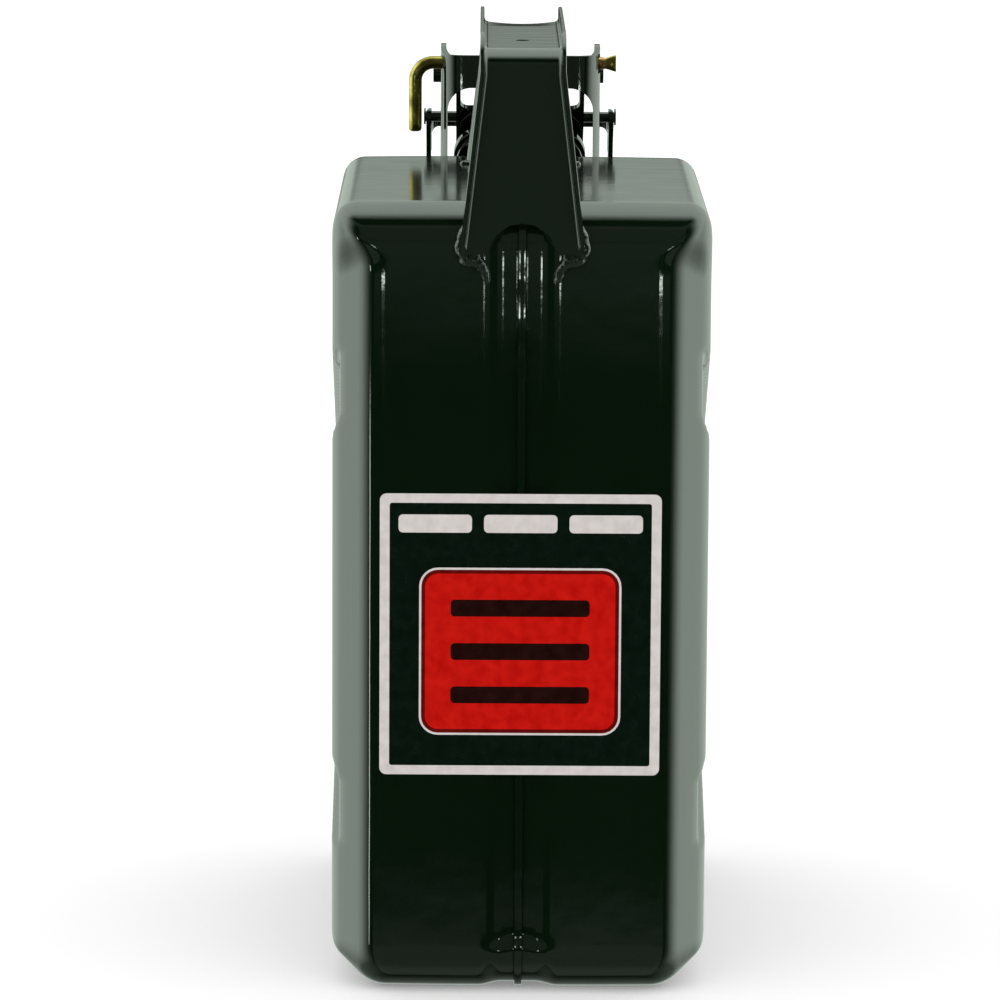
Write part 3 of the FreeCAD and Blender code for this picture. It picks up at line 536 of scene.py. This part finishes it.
def seam_bead():
    """The welded lips of the two halves: a bell shaped bead standing in the channel."""
    section = [(-1.35, -0.3), (-1.24, 0.1), (-1.14, 0.93), (-0.7, 0.985), (0, 1.0),
               (0.7, 0.985), (1.14, 0.93), (1.24, 0.1), (1.35, -0.3)]
    centre = [tuple(row) for row in closed_loop(can_outline(0, 1.2 * MM))]
    outside = [k for k, row in enumerate(centre) if from_spout((0, row[0], row[1])) > NECK_RADIUS
               or row[1] < HEIGHT / 2]
    first = next(k for k in outside if (k - 1) % len(centre) not in outside)
    rows = []
    for step in range(len(outside)):
        y, z, out_y, out_z = centre[(first + step) % len(centre)]
        depth = channel_depth(z)
        tall = depth - 0.4 * MM * smoothstep(LEDGE_LOW, LEDGE_HIGH, z) - 0.02 * MM
        wobble = noise.noise(Vector((step * 0.09, 3, 0)))
        row = []
        for across, share in section:
            lift = depth - share * tall * (1 - 0.02 * abs(wobble)) if share > 0 else depth + 0.4 * MM
            row.append(((across + 0.05 * wobble) * MM, y - lift * out_y, z - lift * out_z))
        rows.append(row)
    piece = new_piece("seam_bead", *tube(rows), "can", GREEN, "seam_weld")
    crisp(piece)


grid = shell_grid()
half_shell("pressed_half_right", 1, *grid)
half_shell("pressed_half_left", -1, *grid)
seam_bead()


# ---------------------------------------------------------------- carrying handle
GRIP_TOP, GRIP_SHEET, GRIP_FLANGE = 299.4 * MM, 1.3 * MM, 6.4 * MM
GRIP_HALF, GRIP_FOOT_HALF = 13.6 * MM, 20 * MM
REAR_BEND, FRONT_BEND = 6.5 * MM, 9 * MM
GRIP_TAPER = (238 * MM, 292 * MM)
REAR_KNEE_Y, FRONT_KNEE_Y, DRAIN_Y = REAR + 24 * MM, REAR + 143 * MM, REAR + 58 * MM
DRAIN_RADIUS = 2.2 * MM
# How far the strip turns down from level at each knee; the front leg runs back under the grip.
REAR_LEAN, FRONT_LEAN = math.radians(66), math.radians(117)
REAR_FOOT_Z, ARCH_Z, ARCH_RADIUS = 239 * MM, 237 * MM, 11.5 * MM
FOLD = 2.9 * MM


def grip_section(half):
    """The channel's section as (x, out from the web's under side), flanges outwards with round folds."""
    right = [(half, GRIP_FLANGE - 0.5 * MM), (half, FOLD + 1.6 * MM)]
    for step in range(7):
        angle = math.radians(90) * step / 6
        right.append((half - FOLD * (1 - math.cos(angle)), FOLD * (1 - math.sin(angle))))
    under = right + [(half * share, 0) for share in (0.6, 0.4, 0.2)]
    loop = under + [(0, 0)] + [(-x, out) for x, out in under[::-1]]
    tip = [(half - 0.15 * MM, GRIP_FLANGE - 0.1 * MM), (half - GRIP_SHEET / 2, GRIP_FLANGE),
           (half - GRIP_SHEET + 0.15 * MM, GRIP_FLANGE - 0.1 * MM)]
    inner = [(half - GRIP_SHEET, GRIP_FLANGE - 0.5 * MM), (half - GRIP_SHEET, FOLD + 1.6 * MM)]
    small = FOLD - GRIP_SHEET
    for step in range(7):
        angle = math.radians(90) * step / 6
        inner.append((half - GRIP_SHEET - small * (1 - math.cos(angle)),
                      GRIP_SHEET + small * (1 - math.sin(angle))))
    inner += [(half * share, GRIP_SHEET) for share in (0.6, 0.4, 0.2)]
    back = tip + inner
    return loop + [(-x, out) for x, out in back] + [(0, GRIP_SHEET)] + back[::-1]


def grip_stations():
    """(y, z, out direction) of the web's under side from the rear foot over the top to the front foot."""
    def leg(foot_z, knee, side, lean, steps):
        square = Vector((side * math.sin(lean), math.cos(lean)))
        level = Vector((side / math.sin(lean), 0))
        foot = knee + Vector((side, -math.tan(lean))) * ((knee.y - foot_z) / math.tan(lean))
        return [(foot.lerp(knee, k / steps), level.lerp(square, k / steps)) for k in range(steps + 1)]

    def knee_arc(corner, lean, side, bend):
        reach = bend * math.tan(lean / 2)
        centre = corner + Vector((-side * reach, -bend))
        angles = [lean * k / 10 for k in range(11)]
        return [(centre + bend * Vector((side * math.sin(a), math.cos(a))),
                 Vector((side * math.sin(a), math.cos(a)))) for a in angles]

    rear_arc = knee_arc(Vector((REAR_KNEE_Y, GRIP_TOP)), REAR_LEAN, -1, REAR_BEND)[::-1]
    front_arc = knee_arc(Vector((FRONT_KNEE_Y, GRIP_TOP)), FRONT_LEAN, 1, FRONT_BEND)
    rear_leg = leg(REAR_FOOT_Z, rear_arc[0][0], -1, REAR_LEAN, 36)
    front_leg = leg(HEIGHT, front_arc[-1][0], 1, FRONT_LEAN, 24)
    top = [(rear_arc[-1][0].lerp(front_arc[0][0], k / 40), Vector((0, 1))) for k in range(1, 40)]
    return rear_leg[:-1] + rear_arc + top + front_arc + front_leg[::-1][1:]


def grip_half(z):
    """Half the handle's width at a height."""
    share = min(1, max(0, (z - GRIP_TAPER[0]) / (GRIP_TAPER[1] - GRIP_TAPER[0])))
    return GRIP_FOOT_HALF + (GRIP_HALF - GRIP_FOOT_HALF) * share


def handle():
    """The folded channel handle, arched over the seam at its rear foot."""
    blend_z = REAR_FOOT_Z + 22 * MM
    rows = []
    for base, out in grip_stations():
        row = []
        sag = 0.7 * MM * smoothstep(10 * MM, 28 * MM, base.x) * smoothstep(286 * MM, GRIP_TOP, base.y)
        for x, away in grip_section(grip_half(base.y)):
            dished = max(0, 1 - (x / (GRIP_HALF - FOLD)) ** 2)
            point = base + out * (away - sag * dished)
            y, z = point
            if base.x < 0 and base.y < blend_z:
                arch = max(REAR_FOOT_Z, ARCH_Z + math.sqrt(max(0, ARCH_RADIUS ** 2 - x ** 2)))
                rise = (arch - REAR_FOOT_Z) * (1 - (base.y - REAR_FOOT_Z) / (blend_z - REAR_FOOT_Z))
                y, z = y + rise / math.tan(REAR_LEAN), z + rise
            row.append((x, y, z))
        rows.append(row)
    piece = new_piece("carrying_handle", *tube(rows), "can", GREEN, "handle")
    ring = [(DRAIN_RADIUS * math.cos(math.tau * k / 32), DRAIN_Y + DRAIN_RADIUS * math.sin(math.tau * k / 32))
            for k in range(32)]
    carve(piece, *tube([[(x, y, GRIP_TOP + z) for x, y in ring] for z in (-4 * MM, 5 * MM)]))
    far, near = cad_box[0].y - 20 * MM, cad_box[0].y
    block = [[(x, y, z) for x, y in ((-30 * MM, far), (30 * MM, far), (30 * MM, near), (-30 * MM, near))]
             for z in (220 * MM, 290 * MM)]
    carve(piece, *tube(block))
    for face in piece.data.polygons:
        face.use_smooth = True
    crisp(piece)


handle()


# ---------------------------------------------------------------- weld beads
def weld(name, chains, *replaced):
    """Weld metal: overlapping drops along chains of (x, y, z, radius) in mm, mirrored left and right."""
    dice = random.Random(name)
    heap = bmesh.new()
    for side in (-1, 1):
        for chain in chains:
            for start, end in zip(chain, chain[1:]):
                first, last = Vector(start[:3]), Vector(end[:3])
                steps = max(1, round((last - first).length / 0.6))
                for step in range(steps):
                    part = step / steps
                    spot = first.lerp(last, part) * MM
                    size = (start[3] + (end[3] - start[3]) * part) * dice.uniform(0.93, 1.07) * MM
                    place = Matrix.Translation((side * spot.x, spot.y, spot.z)) @ Matrix.Rotation(
                        dice.uniform(0, 3), 4, "X") @ Matrix.Diagonal((1, 1, dice.uniform(0.75, 0.95), 1))
                    bmesh.ops.create_icosphere(heap, subdivisions=3, radius=size, matrix=place)
    mesh = bpy.data.meshes.new(name)
    heap.to_mesh(mesh)
    heap.free()
    piece = bpy.data.objects.new(name, mesh)
    bpy.context.scene.collection.objects.link(piece)
    mesh.materials.append(WELD_GREEN)
    melt = piece.modifiers.new("melt", "REMESH")
    melt.mode = "VOXEL"
    melt.voxel_size = 0.32 * MM
    melt.use_smooth_shade = True
    relax = piece.modifiers.new("relax", "SMOOTH")
    relax.iterations = 8
    settle(piece)
    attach(piece, "can")
    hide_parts(*replaced)


rear_mm = REAR / MM
weld("handle_rear_beads",
     [[(17.8, rear_mm + 0.4, 247.5, 1.3), (18.9, rear_mm - 0.4, 244.0, 2.0),
       (19.1, rear_mm - 0.6, 240.5, 2.6), (17.4, rear_mm - 0.5, 237.4, 2.7),
       (13.6, rear_mm - 0.5, 236.2, 2.2)],
      [(15.0, rear_mm - 0.8, 239.0, 2.0), (13.2, rear_mm - 0.2, 235.6, 2.0),
       (11.6, rear_mm + 0.5, 232.4, 1.7), (10.9, rear_mm + 1.2, 229.2, 1.2)]],
     "handle_rear_welds")
front_foot = FRONT_KNEE_Y + (GRIP_TOP - HEIGHT) / math.tan(FRONT_LEAN)
weld("handle_front_beads",
     [[(11.5, front_foot / MM - 1.0, 253.6, 1.6), (19.4, front_foot / MM - 1.0, 253.8, 1.6)]],
     "handle_front_welds")


# ---------------------------------------------------------------- locking pin
def locking_pin():
    """Bent wire: a long bar, a round elbow and leg on the left, squeezed to a fan at the right end."""
    low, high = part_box("locking_pin")
    radius = 2.2 * MM
    y = (low.y + high.y) / 2
    bar_z = low.z + 23.4 * MM
    left, bend = low.x + radius, 6 * MM
    spine = [((left, y, low.z), (0, 0, 1), 0.55, 0.55),
             ((left, y, low.z + 0.25 * MM), (0, 0, 1), 0.85, 0.85),
             ((left, y, low.z + 0.9 * MM), (0, 0, 1), 1, 1)]
    spine += [((left, y, low.z + step * 2.4 * MM), (0, 0, 1), 1, 1) for step in range(1, 7)]
    for step in range(13):
        angle = math.radians(90) * step / 12
        spine.append(((left + bend * (1 - math.cos(angle)), y, bar_z - bend * (1 - math.sin(angle))),
                      (math.sin(angle), 0, math.cos(angle)), 1, 1))
    start, squeeze = left + bend, 27.2 * MM
    spine += [((start + (squeeze - start) * step / 12, y, bar_z), (1, 0, 0), 1, 1) for step in range(1, 13)]
    end = high.x
    for share, thin, tall in ((0.12, 0.9, 0.94), (0.3, 0.74, 0.86), (0.5, 0.62, 0.98), (0.75, 0.54, 1.16),
                              (0.97, 0.5, 1.3), (1.0, 0.42, 1.24)):
        spine.append(((squeeze + (end - squeeze) * share, y, bar_z), (1, 0, 0), thin, tall))
    rows = []
    for centre, along, thin, tall in spine:
        along = Vector(along)
        up = along.cross(Vector((0, -1, 0)))
        row = []
        for k in range(28):
            angle = math.tau * k / 28
            flat = (1 - thin) ** 1.2
            c, s = math.cos(angle), math.sin(angle)
            boxy = 1 - 0.5 * flat
            c, s = math.copysign(abs(c) ** boxy, c), math.copysign(abs(s) ** boxy, s)
            row.append(Vector(centre) + Vector((0, 1, 0)) * c * radius * thin + up * s * radius * tall)
        rows.append(row)
    piece = new_piece("lock_wire", *tube(rows), "lock", ZINC, "locking_pin")
    piece.data.materials.append(COPPER)
    for face in piece.data.polygons:
        bruised = squeeze + 0.2 * MM < face.center.x < squeeze + 2.0 * MM
        face.material_index = 1 if bruised else 0


locking_pin()


# ---------------------------------------------------------------- label
def prism(outline, low, high):
    """A flat plate of an outline (x, z) between two depths in y."""
    return tube([[(x, low, z) for x, z in outline], [(x, high, z) for x, z in outline]])


def rounded_box(half_wide, half_tall, radius, middle):
    """Outline of an upright rectangle with round corners."""
    outline = []
    for corner in range(4):
        sign_x, sign_z = ((1, 1), (-1, 1), (-1, -1), (1, -1))[corner]
        for step in range(7):
            angle = math.radians(90) * (corner + step / 6)
            x = sign_x * (half_wide - radius) + radius * math.cos(angle)
            z = sign_z * (half_tall - radius) + radius * math.sin(angle)
            outline.append((middle[0] + x, middle[1] + z))
    return outline


def label():
    """A stuck-on vinyl label: grey frame, dark field and a plain red panel, with equal bars for wording."""
    low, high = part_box("label")
    middle = ((low.x + high.x) / 2, (low.z + high.z) / 2)
    half_wide, half_tall = (high.x - low.x) / 2, (high.z - low.z) / 2
    film = high.y - 0.02 * MM
    red_middle = (middle[0], middle[1] - 5.4 * MM)
    red_wide, red_tall = 32 * MM, 27 * MM
    layers = [("label_frame", rounded_box(half_wide, half_tall, 2.2 * MM, middle), VINYL_GREY),
              ("label_field", rounded_box(half_wide - 3.1 * MM, half_tall - 3.0 * MM, 0.8 * MM, middle),
               VINYL_DARK)]
    header = middle[1] + half_tall - 9.6 * MM
    for number in (1, 2, 3):
        centre = (middle[0] + (number - 2) * 27 * MM, header)
        bar = rounded_box(11.6 * MM, 2.9 * MM, 1.4 * MM, centre)
        layers.append((f"label_bar_{number}", bar, VINYL_GREY))
    for name, inset, material in (("label_panel_edge", 0, VINYL_GREY),
                                  ("label_panel_line", 0.7 * MM, VINYL_MAROON),
                                  ("label_panel", 1.9 * MM, VINYL_RED)):
        panel = rounded_box(red_wide - inset, red_tall - inset, 6 * MM - inset, red_middle)
        layers.append((name, panel, material))
    for number in (1, 2, 3):
        centre = (red_middle[0], red_middle[1] + (2 - number) * 14 * MM)
        stripe = rounded_box(22 * MM, 2.7 * MM, 1.3 * MM, centre)
        layers.append((f"label_stripe_{number}", stripe, VINYL_BLACK))
    thick = 0.16 * MM
    for number, (name, outline, material) in enumerate(layers):
        top = film - thick - 0.012 * MM * number
        bottom = film if number == 0 else top + 0.03 * MM
        piece = new_piece(name, *prism(outline, top, bottom), "can", material, smooth=False)
        if number == 0:
            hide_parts("label")


label()


# ---------------------------------------------------------------- carried-over CAD nodes
def dress(node, material):
    """Give a CAD node a material, smooth faces and small worn edge rounds."""
    piece = nodes[node]
    piece.data.materials.clear()
    piece.data.materials.append(material)
    normals = piece.data.attributes.get("custom_normal")
    if normals:
        piece.data.attributes.remove(normals)
    for face in piece.data.polygons:
        face.use_smooth = True
        face.material_index = 0
    weld_up = piece.modifiers.new("weld", "WELD")
    weld_up.merge_threshold = 1e-6
    bevel = piece.modifiers.new("bevel", "BEVEL")
    bevel.width = 0.28 * MM
    bevel.segments = 2
    bevel.limit_method = "ANGLE"
    bevel.angle_limit = math.radians(38)
    bevel.harden_normals = True
    bevel.use_clamp_overlap = True


FINISHES = {"breather_tube": STEEL, "gasket_retainer": STEEL, "lid_gasket": RUBBER}
for name, node in nodes.items():
    if not node.hide_render:
        dress(name, FINISHES.get(name, GREEN))


# ---------------------------------------------------------------- floor, light and camera
def card(tree, azimuth, elevation, where, size, strength, soft):
    """A soft edged light card in the sky: middle, half size and softness in degrees."""
    parts = []
    for angle, middle, half in ((azimuth, where[0], size[0]), (elevation, where[1], size[1])):
        away = math_node(tree, "ABSOLUTE", math_node(tree, "SUBTRACT", angle, middle))
        parts.append(math_node(tree, "DIVIDE", math_node(tree, "SUBTRACT", half + soft, away), 2 * soft,
                               clamp=True))
    return math_node(tree, "MULTIPLY", math_node(tree, "MULTIPLY", *parts), strength)


# Light cards seen by glossy surfaces: (azimuth, elevation), half size, strength, softness, in degrees.
# Azimuth 0 is behind the camera (-Y) and grows towards +X; 90 is the right side.
CARDS = [
    ((0, -52), (40, 38.1), 0.25, 0.6), ((0, 3), (40, 10.8), 0.15, 0.5),
    ((-15, -7.3), (4.4, 0.12), 26, 0.04), ((15, -7.3), (4.4, 0.12), 26, 0.04),
    ((-15, -5.75), (4.4, 0.1), 40, 0.04), ((15, -5.75), (4.4, 0.1), 40, 0.04),
    ((-52, -11.4), (0.9, 2.7), 14, 0.4), ((0, 36), (30, 21), 0.16, 2),
]
# The tent of white cloth round the can: (degrees from the camera's side, brightness).
TENT = [(0, 0.0), (48, 0.0), (56, 0.35), (66, 1.7), (77, 3.3), (90, 4.1),
        (110, 3.6), (130, 2.4), (150, 1.3), (170, 0.7), (180, 0.64)]
TENT_PEAK = 4.2                 # the ramp holds brightness divided by this


def tent(tree, axes, elevation):
    """Brightness of the tent: an opening towards -Y, brightest all round the can's middle.

    It is dim low down, in a narrow gap on its far side, and in a hood over its near side.
    """
    swing = math_node(tree, "ARCCOSINE", math_node(tree, "MULTIPLY", axes.outputs["Y"], -1))
    cloth = ramp(tree, math_node(tree, "DIVIDE", swing, math.pi),
                 [(angle / 180, light / TENT_PEAK) for angle, light in TENT])
    low = ramp(tree, math_node(tree, "DIVIDE", math_node(tree, "ADD", elevation, 90), 180),
               [(0.0, 0.0), (0.25, 0.15), (0.42, 1.0)])
    middle = math_node(tree, "SUBTRACT", 0.1, math_node(tree, "ABSOLUTE", axes.outputs["X"]))
    beyond = math_node(tree, "GREATER_THAN", axes.outputs["Y"], 0)
    above = math_node(tree, "DIVIDE", math_node(tree, "ADD", elevation, 7), 3, clamp=True)
    far = math_node(tree, "MULTIPLY", math_node(tree, "DIVIDE", middle, 0.03, clamp=True),
                    math_node(tree, "MULTIPLY", beyond, above))
    height = math_node(tree, "DIVIDE", math_node(tree, "SUBTRACT", elevation, 3), 4, clamp=True)
    under = math_node(tree, "SUBTRACT", 1, height)
    hidden = math_node(tree, "SUBTRACT", 1, math_node(tree, "MULTIPLY", far, under))
    overhead = math_node(tree, "DIVIDE", math_node(tree, "SUBTRACT", elevation, 30), 30, clamp=True)
    front = math_node(tree, "DIVIDE", math_node(tree, "SUBTRACT", math.radians(96), swing), math.radians(22),
                      clamp=True)
    hood = math_node(tree, "SUBTRACT", 1, math_node(tree, "MULTIPLY", overhead, front))
    shade = math_node(tree, "MULTIPLY", hidden, hood)
    lit = math_node(tree, "MULTIPLY", math_node(tree, "MULTIPLY", cloth, low), shade)
    return math_node(tree, "MULTIPLY", lit, TENT_PEAK)


def room():
    """World light: an even pale dome for matt surfaces, a dark studio with cards for glossy ones."""
    world = bpy.data.worlds.new("studio")
    bpy.context.scene.world = world
    world.use_nodes = True
    tree = world.node_tree
    tree.nodes.clear()
    direction = add(tree, "TexCoord")
    axes = add(tree, "SeparateXYZ")
    tree.links.new(direction.outputs["Generated"], axes.inputs["Vector"])
    turn = math_node(tree, "ARCTAN2", axes.outputs["X"], math_node(tree, "MULTIPLY", axes.outputs["Y"], -1))
    azimuth = math_node(tree, "MULTIPLY", turn, math.degrees(1))
    elevation = math_node(tree, "MULTIPLY", math_node(tree, "ARCSINE", axes.outputs["Z"]), math.degrees(1))
    total = tent(tree, axes, elevation)
    for where, size, strength, soft in CARDS:
        total = math_node(tree, "ADD", card(tree, azimuth, elevation, where, size, strength, soft), total)
    tint = add(tree, "MixRGB", blend_type="MULTIPLY", Fac=1.0)
    tint.inputs["Color2"].default_value = (0.87, 1.0, 0.88, 1)
    tree.links.new(total, tint.inputs["Color1"])
    seen = add(tree, "LightPath")
    plain = add(tree, "MixRGB", Color1=(1, 1, 1, 1))
    tree.links.new(seen.outputs["Is Glossy Ray"], plain.inputs["Fac"])
    tree.links.new(tint.outputs["Color"], plain.inputs["Color2"])
    backdrop = add(tree, "Background")
    tree.links.new(plain.outputs["Color"], backdrop.inputs["Color"])
    output = add(tree, "OutputWorld")
    tree.links.new(backdrop.outputs["Background"], output.inputs["Surface"])
    bpy.context.scene.view_settings.view_transform = "Standard"


def floor():
    """A plain pale floor."""
    rim = [(6 * math.cos(math.tau * k / 64), 6 * math.sin(math.tau * k / 64)) for k in range(64)]
    points, faces = tube([[(x, y, z) for x, y in rim] for z in (-0.02, -1e-5)])
    mesh = bpy.data.meshes.new("studio_floor")
    mesh.from_pydata(points, [], faces)
    ground = bpy.data.objects.new("studio_floor", mesh)
    bpy.context.scene.collection.objects.link(ground)
    material, tree, shader = new_material("studio_floor")
    speckle = pattern(tree, "TexNoise", 3, Detail=2)
    tree.links.new(ramp(tree, speckle.outputs["Fac"], [(0.0, 0.93), (1.0, 0.95)]),
                   shader.inputs["Base Color"])
    shader.inputs["Roughness"].default_value = 0.9
    shader.inputs["Specular IOR Level"].default_value = 0.0
    shader.inputs["Emission Color"].default_value = (1, 1, 1, 1)
    shader.inputs["Emission Strength"].default_value = 0.22
    mesh.materials.append(material)
    ground.visible_glossy = False


def look():
    """The camera stands 1.8 m behind the can, a little left of its middle, looking slightly down."""
    data = bpy.data.cameras.new("camera")
    data.sensor_width = 36
    data.lens = 205.85
    data.clip_end = 50
    camera = bpy.data.objects.new("camera", data)
    bpy.context.scene.collection.objects.link(camera)
    turn = Euler((math.radians(90 - 9.65), 0, math.radians(-0.19))).to_matrix() @ Matrix.Rotation(
        math.radians(0.34), 3, "Z")
    camera.matrix_world = Matrix.Translation((-0.0125, REAR - 1.7789, 0.4631)) @ turn.to_4x4()
    bpy.context.scene.camera = camera


room()
floor()
look()
